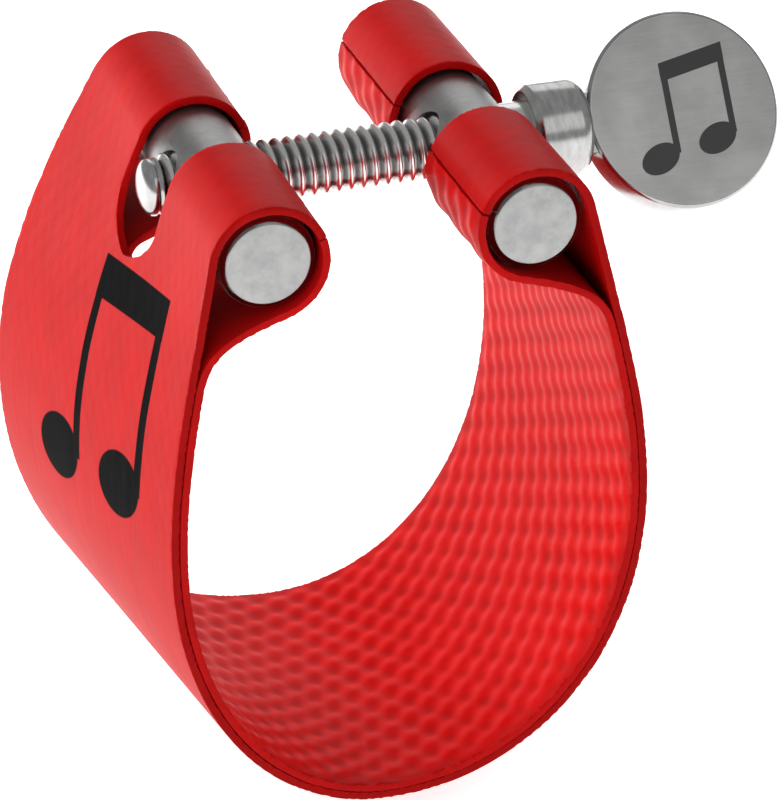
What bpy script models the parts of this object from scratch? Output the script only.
"""Saxophone ligature: a soft two-ply band whose ends loop round two rods that one thumbscrew draws together.

Lengths are in millimetres and are turned into metres where each mesh is made.
+X runs along the screw towards the thumb disc, +Y along the mouthpiece towards its shank, +Z up.
The origin is the centre of the bore, so the screw crosses above it.
"""

import math

import bmesh
import bpy
from mathutils import Matrix, Vector
from mathutils.geometry import interpolate_bezier

MM = 0.001

# Band: width along the mouthpiece, and the two plies with the glue line between them.
BAND_WIDTH = 24.9
COVER_THICKNESS = 0.45
LINING_THICKNESS = 0.42
GLUE_LINE = 0.05

# Ring: each rim's outer outline, measured from the line midway between the rods.
ROD_SPACING = 14.7
ROD_HEIGHT = 17.0
RING_BOTTOM_X = -0.6
NEAR_RIM = {"left": 13.2, "right": 13.9, "depth": 34.1, "left_leaves": 10.0, "right_leaves": 13.0}
FAR_RIM = {"left": 16.9, "right": 13.9, "depth": 35.7, "left_leaves": 32.0, "right_leaves": 13.0}
WIDEST_DROP = 17.2
LOWER_FULLNESS = 0.58
SHOULDER_REACH = 0.42
WAIST_REACH = 0.34
SPLIT_GAP = 0.3

# Rods and the loops that hold them.
ROD_RADIUS = 2.64
ROD_CHAMFER = 0.37
ROD_RECESS = 0.28
LOOP_CLEARANCE = 0.24
LAP_ANGLE = 22.0
LAP_GAP = 0.12
LINING_LEAVES = 74.0
ROOT_STEP = 4
ROOT_REACH = 0.85
ROOT_RISE = 2.2

# Opening in each pair of loops, through which the screw reaches the rods. It runs further down the lining.
SLOT_WIDTH = 6.4
SLOT_OFFSET = 0.4
SLOT_STRAIGHT = 1.0
SLOT_DEPTH = {"cover": 3.9, "lining": 5.9}
SLOT_TAPER = 0.65
SLOT_END_ROUND = 0.2

# Screw, from its tip to its thumb disc.
SCREW_OFFSET_Y = -1.0
THREAD_RADIUS = 1.75
THREAD_DEPTH = 0.36
THREAD_PITCH = 0.7
THREAD_FLANK = 0.3
THREAD_CREST = 0.2
TAPPED_CLEARANCE = 0.09
JOURNAL_STEP = 0.13
JOURNAL_CLEARANCE = 0.09
JOURNAL_IN_ROD = 3.6
JOURNAL_OVERLAP = 0.05
CORE_SHARE = 0.9
SPIGOT_RADIUS = 1.3
TIP_RADIUS = 0.9
TIP_LENGTH = 0.75
STOP_STEP = 0.17
STOP_LENGTH = 1.25
STOP_GAP = 0.2
STOP_GROOVE = 0.13
STOP_RING_SHARE = 0.24
STOP_FLANK = 0.4
PRESS_GAP = 0.03

# Collar and thumb disc.
COLLAR_INSET = 0.04
COLLAR_RADIUS = 2.72
COLLAR_LENGTH = 3.4
COLLAR_CHAMFER = 0.35
COLLAR_ROUND = 0.8
COLLAR_BORE_DEPTH = 1.8
DISC_RADIUS = 5.6
DISC_THICKNESS = 2.0
DISC_BEVEL = 0.15
DISC_GAP = 0.15
DISC_TILT = 34.5
TANG_DEPTH = 0.9
TANG_WIDTH = 3.4
TANG_THICKNESS = 1.6
TANG_CLEARANCE = 0.05
DISC_EDGE_OVERLAP = 0.8

STATIONS = 5
TOP_STEPS = 14
UNDER_STEPS = 9
UPPER_STEPS = 10
LOWER_STEPS = 15
ROOT_STEPS = 9
THREAD_STEPS = 20
ROUND_STEPS = 48

ROD_X = ROD_SPACING / 2
ROD_LENGTH = BAND_WIDTH - 2 * ROD_RECESS
JOURNAL_RADIUS = THREAD_RADIUS + JOURNAL_STEP
STOP_RADIUS = THREAD_RADIUS - STOP_STEP
LOOP_INNER = ROD_RADIUS + LOOP_CLEARANCE
LOOP_OUTER = LOOP_INNER + COVER_THICKNESS
PLY_STEP = COVER_THICKNESS + GLUE_LINE
BAND_THICKNESS = PLY_STEP + LINING_THICKNESS
HINGE_Z = ROD_HEIGHT - NEAR_RIM["depth"] + BAND_THICKNESS
COLLAR_LEFT = ROD_X + LOOP_OUTER - COLLAR_INSET
COLLAR_RIGHT = COLLAR_LEFT + COLLAR_LENGTH
DISC_X = COLLAR_RIGHT + DISC_GAP + DISC_RADIUS
STOP_RIGHT = -ROD_X - ROD_RADIUS - STOP_GAP
JOURNAL_LEFT = ROD_X + ROD_RADIUS - JOURNAL_IN_ROD

FRAME_ORIGIN = (0, 0, 0)
BAND_HINGE = (RING_BOTTOM_X, 0, HINGE_Z)
RIGHT_ROD_CENTRE = (ROD_X, 0, ROD_HEIGHT)
LEFT_ROD_CENTRE = (-ROD_X, 0, ROD_HEIGHT)
SCREW_LINE = (0, SCREW_OFFSET_Y, ROD_HEIGHT)
DISC_CENTRE = (DISC_X, SCREW_OFFSET_Y, ROD_HEIGHT)
ALONG_X = Matrix.Rotation(math.radians(90), 4, "Y")
ALONG_Y = Matrix.Rotation(math.radians(-90), 4, "X")
DISC_FACING = Matrix.Rotation(math.radians(90 - DISC_TILT), 4, "X")


def clear_scene():
    for obj in list(bpy.data.objects):
        bpy.data.objects.remove(obj)


def material(name, colour, roughness, metallic):
    made = bpy.data.materials.new(name)
    made.use_nodes = True
    shader = made.node_tree.nodes["Principled BSDF"]
    shader.inputs["Base Color"].default_value = (*colour, 1.0)
    shader.inputs["Roughness"].default_value = roughness
    shader.inputs["Metallic"].default_value = metallic
    return made


def add_object(name, bm, origin, finish=None):
    """Stores a mesh made in world millimetres as an object in metres whose own origin is the point given."""
    bm.transform(Matrix.Scale(MM, 4) @ Matrix.Translation(-Vector(origin)))
    mesh = bpy.data.meshes.new(name)
    bm.to_mesh(mesh)
    bm.free()
    mesh.shade_smooth()
    mesh.set_sharp_from_angle(angle=math.radians(35))
    obj = bpy.data.objects.new(name, mesh)
    obj.location = Vector(origin) * MM
    bpy.context.scene.collection.objects.link(obj)
    if finish:
        mesh.materials.append(finish)
    return obj


def add_cutter(name, bm):
    cutter = add_object(name, bm, FRAME_ORIGIN)
    cutter.hide_render = True
    cutter.display_type = "WIRE"
    return cutter


def combine(obj, other, operation):
    modifier = obj.modifiers.new(other.name, "BOOLEAN")
    modifier.operation = operation
    modifier.solver = "EXACT"
    modifier.object = other


def turned(profile, turn, centre, steps=ROUND_STEPS):
    """A solid of revolution from (distance along its axis, radius) pairs that start and end on the axis."""
    bm = bmesh.new()
    points = [bm.verts.new((radius, 0, along)) for along, radius in profile]
    edges = [bm.edges.new(pair) for pair in zip(points, points[1:])]
    bmesh.ops.spin(bm, geom=points + edges, axis=(0, 0, 1), cent=(0, 0, 0),
                   angle=math.tau, steps=steps, use_merge=True)
    bmesh.ops.remove_doubles(bm, verts=bm.verts, dist=1e-4)
    bmesh.ops.recalc_face_normals(bm, faces=bm.faces)
    bm.transform(Matrix.Translation(centre) @ turn)
    return bm


def plain_cylinder(start, end, radius, turn, centre, steps=ROUND_STEPS):
    return turned([(start, 0), (start, radius), (end, radius), (end, 0)], turn, centre, steps)


def around_loop(start, end, radius, steps):
    """Points round a loop's centre, in degrees, for the loop on the +X side."""
    angles = [math.radians(start + (end - start) * i / steps) for i in range(steps + 1)]
    return [Vector((ROD_X + radius * math.cos(a), ROD_HEIGHT + radius * math.sin(a))) for a in angles]


def moved_sideways(path, distance):
    """The path moved to the right of the way it runs."""
    moved = []
    for i, point in enumerate(path):
        along = path[min(i + 1, len(path) - 1)] - path[max(i - 1, 0)]
        moved.append(point + Vector((along.y, -along.x)).normalized() * distance)
    return moved


def strap_outline(rim, side):
    """A rim's outer outline from where it leaves the loop down to the split, as if on the +X side."""
    leaves = math.radians(rim[side + "_leaves"])
    off_loop = around_loop(rim[side + "_leaves"], 0, LOOP_OUTER, 1)[0]
    down = Vector((math.sin(leaves), -math.cos(leaves)))
    widest = Vector((rim[side], ROD_HEIGHT - WIDEST_DROP))
    split_x = RING_BOTTOM_X if side == "right" else -RING_BOTTOM_X
    bottom = Vector((split_x, ROD_HEIGHT - rim["depth"]))
    corner = Vector((widest.x, bottom.y))
    drop = off_loop.y - widest.y
    upper = interpolate_bezier(off_loop, off_loop + down * drop * SHOULDER_REACH,
                               widest + Vector((0, drop * WAIST_REACH)), widest, UPPER_STEPS + 1)
    lower = interpolate_bezier(widest, widest.lerp(corner, LOWER_FULLNESS),
                               bottom.lerp(corner, LOWER_FULLNESS), bottom, LOWER_STEPS + 1)
    return upper[:-1] + lower


def cover_path(rim, side):
    """The cover's outer face: over the rod from the lap seam, then down the outside to the split."""
    over_rod = around_loop(180 - LAP_ANGLE, rim[side + "_leaves"], LOOP_OUTER, TOP_STEPS)
    return over_rod[:-1] + strap_outline(rim, side)


def lining_path(rim, side):
    """The lining's face towards rod and cover: under the rod from the lap seam, then down to the split."""
    lap = 180 - LAP_ANGLE + math.degrees(LAP_GAP / LOOP_OUTER)
    leaves = 180 + LINING_LEAVES
    under_rod = around_loop(lap, leaves, LOOP_INNER, UNDER_STEPS)
    strap = moved_sideways(strap_outline(rim, side), PLY_STEP)[ROOT_STEP:]
    off_loop = Vector((-math.sin(math.radians(leaves)), math.cos(math.radians(leaves))))
    up_strap = (strap[0] - strap[1]).normalized()
    span = strap[0].x - under_rod[-1].x
    root = interpolate_bezier(under_rod[-1], under_rod[-1] + off_loop * span * ROOT_REACH,
                              strap[0] + up_strap * ROOT_RISE, strap[0], ROOT_STEPS + 1)
    return under_rod[:-1] + root[:-1] + strap


def add_ply(name, path_of, side, thickness, origin, finish):
    """One ply of one half of the band: a sheet swept from rim to rim, then thickened towards the bore."""
    mirror = 1 if side == "right" else -1
    near = path_of(NEAR_RIM, side)
    far = path_of(FAR_RIM, side)
    bm = bmesh.new()
    rows = []
    for station in range(STATIONS):
        share = station / (STATIONS - 1)
        path = [a.lerp(b, share) for a, b in zip(near, far)]
        path[-1].x += SPLIT_GAP / 2
        y = (share - 0.5) * BAND_WIDTH
        rows.append([bm.verts.new((mirror * point.x, y, point.y)) for point in path])
    for front, back in zip(rows, rows[1:]):
        for i in range(len(front) - 1):
            bm.faces.new((front[i], front[i + 1], back[i + 1], back[i])[::mirror])
    obj = add_object(name, bm, origin, finish)
    solidify = obj.modifiers.new("thickness", "SOLIDIFY")
    solidify.thickness = thickness * MM
    solidify.offset = -1
    solidify.use_even_offset = True
    return obj


def slot_cutter(ply, side):
    """Parts the loops round the screw: straight beside the rod, then narrowing to a round end below it."""
    mirror = 1 if side == "right" else -1
    middle = SCREW_OFFSET_Y + SLOT_OFFSET
    half = SLOT_WIDTH / 2
    top = ROD_HEIGHT + 2 * LOOP_OUTER
    shoulder = Vector((half, ROD_HEIGHT - SLOT_STRAIGHT))
    end = Vector((0, ROD_HEIGHT - SLOT_DEPTH[ply]))
    curve = interpolate_bezier(shoulder, shoulder + Vector((0, (end.y - shoulder.y) * SLOT_TAPER)),
                               end + Vector((half * SLOT_END_ROUND, 0)), end, 9)
    outline = [Vector((half, top))] + curve
    outline += [Vector((-point.x, point.y)) for point in reversed(outline[:-1])]
    inner = ROD_X - 2 * LOOP_OUTER
    outer = max(NEAR_RIM[side], FAR_RIM[side]) + LOOP_OUTER
    bm = bmesh.new()
    face = bm.faces.new([bm.verts.new((mirror * inner, middle + point.x, point.y)) for point in outline])
    swept = bmesh.ops.extrude_face_region(bm, geom=[face])
    ends = [item for item in swept["geom"] if isinstance(item, bmesh.types.BMVert)]
    bmesh.ops.translate(bm, verts=ends, vec=(mirror * (outer - inner), 0, 0))
    bmesh.ops.recalc_face_normals(bm, faces=bm.faces)
    return add_cutter(f"{ply}_slot_{side}", bm)


def add_band(cover_finish, lining_finish):
    for side, origin in (("left", BAND_HINGE), ("right", FRAME_ORIGIN)):
        cover = add_ply("cover_" + side, cover_path, side, COVER_THICKNESS, origin, cover_finish)
        lining = add_ply("lining_" + side, lining_path, side, LINING_THICKNESS, origin, lining_finish)
        combine(cover, slot_cutter("cover", side), "DIFFERENCE")
        combine(lining, slot_cutter("lining", side), "DIFFERENCE")


def threaded_bar(start, end, clearance):
    """A right-hand thread on the screw's axis, cut off square at both ends. With clearance it is a tap."""
    crest = THREAD_RADIUS + clearance
    valley = crest - THREAD_DEPTH
    root = 1 - 2 * THREAD_FLANK - THREAD_CREST
    profile = ((0, valley), (root, valley), (root + THREAD_FLANK, crest),
               (root + THREAD_FLANK + THREAD_CREST, crest), (1, valley))
    first = math.floor(start / THREAD_PITCH) - 1
    turns = math.ceil(end / THREAD_PITCH) + 1 - first
    bm = bmesh.new()
    points = [bm.verts.new((radius, 0, (first + share) * THREAD_PITCH)) for share, radius in profile]
    edges = [bm.edges.new(pair) for pair in zip(points, points[1:])]
    bmesh.ops.spin(bm, geom=points + edges, axis=(0, 0, 1), cent=(0, 0, 0), angle=math.tau * turns,
                   steps=THREAD_STEPS * turns, dvec=(0, 0, THREAD_PITCH / THREAD_STEPS))
    bmesh.ops.remove_doubles(bm, verts=bm.verts, dist=1e-4)
    for height, side in ((start, -1), (end, 1)):
        bmesh.ops.bisect_plane(bm, geom=bm.verts[:] + bm.edges[:] + bm.faces[:], plane_co=(0, 0, height),
                               plane_no=(0, 0, side), clear_outer=True)
        rim = [edge for edge in bm.edges if edge.is_boundary and abs(edge.verts[0].co.z - height) < 1e-4]
        bmesh.ops.holes_fill(bm, edges=rim)
    bmesh.ops.recalc_face_normals(bm, faces=bm.faces)
    bm.transform(Matrix.Translation(SCREW_LINE) @ ALONG_X)
    return bm


def add_rods(finish):
    half = ROD_LENGTH / 2
    flat = ROD_RADIUS - ROD_CHAMFER
    outline = [(-half, 0), (-half, flat), (ROD_CHAMFER - half, ROD_RADIUS),
               (half - ROD_CHAMFER, ROD_RADIUS), (half, flat), (half, 0)]
    left = add_object("left_rod", turned(outline, ALONG_Y, LEFT_ROD_CENTRE), LEFT_ROD_CENTRE, finish)
    right = add_object("right_rod", turned(outline, ALONG_Y, RIGHT_ROD_CENTRE), RIGHT_ROD_CENTRE, finish)
    outside = ROD_X + 2 * ROD_RADIUS
    inside = ROD_X - 2 * ROD_RADIUS
    bore = JOURNAL_RADIUS + JOURNAL_CLEARANCE
    tap = add_cutter("tap", threaded_bar(-outside, -inside, TAPPED_CLEARANCE))
    drill = add_cutter("drill", plain_cylinder(inside, outside, bore, ALONG_X, SCREW_LINE))
    combine(left, tap, "DIFFERENCE")
    combine(right, drill, "DIFFERENCE")


def add_screw(finish):
    """The spindle: a thread, a plain journal that turns in the right rod, and a spigot at each end."""
    thread_left = STOP_RIGHT + STOP_GAP / 2
    spindle = add_object("screw", threaded_bar(thread_left, JOURNAL_LEFT, 0), RIGHT_ROD_CENTRE, finish)
    core = (THREAD_RADIUS - THREAD_DEPTH) * CORE_SHARE
    journal_face = JOURNAL_LEFT - JOURNAL_OVERLAP
    tip = [(STOP_RIGHT - TIP_LENGTH, 0), (STOP_RIGHT - TIP_LENGTH, TIP_RADIUS),
           (thread_left + THREAD_PITCH, TIP_RADIUS), (thread_left + THREAD_PITCH, 0)]
    shank = [(JOURNAL_LEFT - THREAD_PITCH, 0), (JOURNAL_LEFT - THREAD_PITCH, core),
             (journal_face, core), (journal_face, JOURNAL_RADIUS),
             (COLLAR_LEFT - PRESS_GAP, JOURNAL_RADIUS), (COLLAR_LEFT - PRESS_GAP, SPIGOT_RADIUS),
             (COLLAR_LEFT + COLLAR_BORE_DEPTH - PRESS_GAP, SPIGOT_RADIUS),
             (COLLAR_LEFT + COLLAR_BORE_DEPTH - PRESS_GAP, 0)]
    for name, outline in (("screw_tip", tip), ("screw_shank", shank)):
        combine(spindle, add_cutter(name, turned(outline, ALONG_X, SCREW_LINE)), "UNION")


def add_end_stop(finish):
    """A small button pressed on the screw's tip: a grooved ring, then a domed end."""
    left = STOP_RIGHT - STOP_LENGTH
    ring = STOP_LENGTH * STOP_RING_SHARE
    bore = TIP_RADIUS + PRESS_GAP
    floor = STOP_RIGHT - TIP_LENGTH - PRESS_GAP
    outline = [(floor, 0), (floor, bore), (STOP_RIGHT, bore), (STOP_RIGHT, STOP_RADIUS - STOP_GROOVE),
               (STOP_RIGHT - ring * STOP_FLANK, STOP_RADIUS), (STOP_RIGHT - ring, STOP_RADIUS - STOP_GROOVE),
               (STOP_RIGHT - ring * (1 + STOP_FLANK), STOP_RADIUS)]
    dome_start = STOP_RIGHT - ring * (1 + 2 * STOP_FLANK)
    dome = dome_start - left
    outline += [(dome_start - dome * math.sin(math.radians(a)), STOP_RADIUS * math.cos(math.radians(a)))
                for a in range(0, 90, 15)]
    outline.append((left, 0))
    add_object("end_stop", turned(outline, ALONG_X, SCREW_LINE, 32), RIGHT_ROD_CENTRE, finish)


def add_collar(finish):
    """The screw's head: bored for the spindle's spigot on its left, slotted for the disc on its right."""
    bore = SPIGOT_RADIUS + PRESS_GAP
    floor = COLLAR_LEFT + COLLAR_BORE_DEPTH
    outline = [(floor, 0), (floor, bore), (COLLAR_LEFT, bore), (COLLAR_LEFT, COLLAR_RADIUS - COLLAR_CHAMFER),
               (COLLAR_LEFT + COLLAR_CHAMFER, COLLAR_RADIUS)]
    outline += [(COLLAR_RIGHT - COLLAR_ROUND * (1 - math.sin(math.radians(a))),
                 COLLAR_RADIUS - COLLAR_ROUND * (1 - math.cos(math.radians(a)))) for a in range(0, 91, 15)]
    outline.append((COLLAR_RIGHT, 0))
    collar = add_object("collar", turned(outline, ALONG_X, SCREW_LINE), RIGHT_ROD_CENTRE, finish)
    combine(collar, add_cutter("tang_slot", tang(TANG_CLEARANCE)), "DIFFERENCE")


def tang(clearance):
    """The flat tongue on the disc's rim that fits the collar's slot, or with clearance the slot itself."""
    left = COLLAR_RIGHT - TANG_DEPTH - clearance - DISC_X
    right = DISC_EDGE_OVERLAP - DISC_RADIUS
    bm = bmesh.new()
    bmesh.ops.create_cube(bm, size=1)
    size = (right - left, TANG_WIDTH + 2 * clearance, TANG_THICKNESS + 2 * clearance)
    bmesh.ops.scale(bm, verts=bm.verts, vec=size)
    bmesh.ops.translate(bm, verts=bm.verts, vec=((left + right) / 2, 0, 0))
    bm.transform(Matrix.Translation(DISC_CENTRE) @ DISC_FACING)
    return bm


def add_thumb_disc(finish):
    """The finger disc: a flat blank with bevelled edges and a tongue on its rim."""
    half = DISC_THICKNESS / 2
    rim = DISC_RADIUS - DISC_BEVEL
    outline = [(-half, 0), (-half, rim), (DISC_BEVEL - half, DISC_RADIUS),
               (half - DISC_BEVEL, DISC_RADIUS), (half, rim), (half, 0)]
    disc = add_object("thumb_disc", turned(outline, DISC_FACING, DISC_CENTRE, 64), RIGHT_ROD_CENTRE, finish)
    combine(disc, add_cutter("tang", tang(0)), "UNION")


def build():
    clear_scene()
    red_leather = material("red_leather", (0.70, 0.03, 0.03), 0.5, 0.0)
    red_rubber = material("red_rubber", (0.75, 0.04, 0.04), 0.55, 0.0)
    nickel = material("nickel_plate", (0.66, 0.66, 0.64), 0.25, 1.0)
    satin_nickel = material("satin_nickel", (0.62, 0.62, 0.61), 0.45, 1.0)
    add_band(red_leather, red_rubber)
    add_rods(satin_nickel)
    add_screw(nickel)
    add_end_stop(nickel)
    add_collar(nickel)
    add_thumb_disc(satin_nickel)


build()
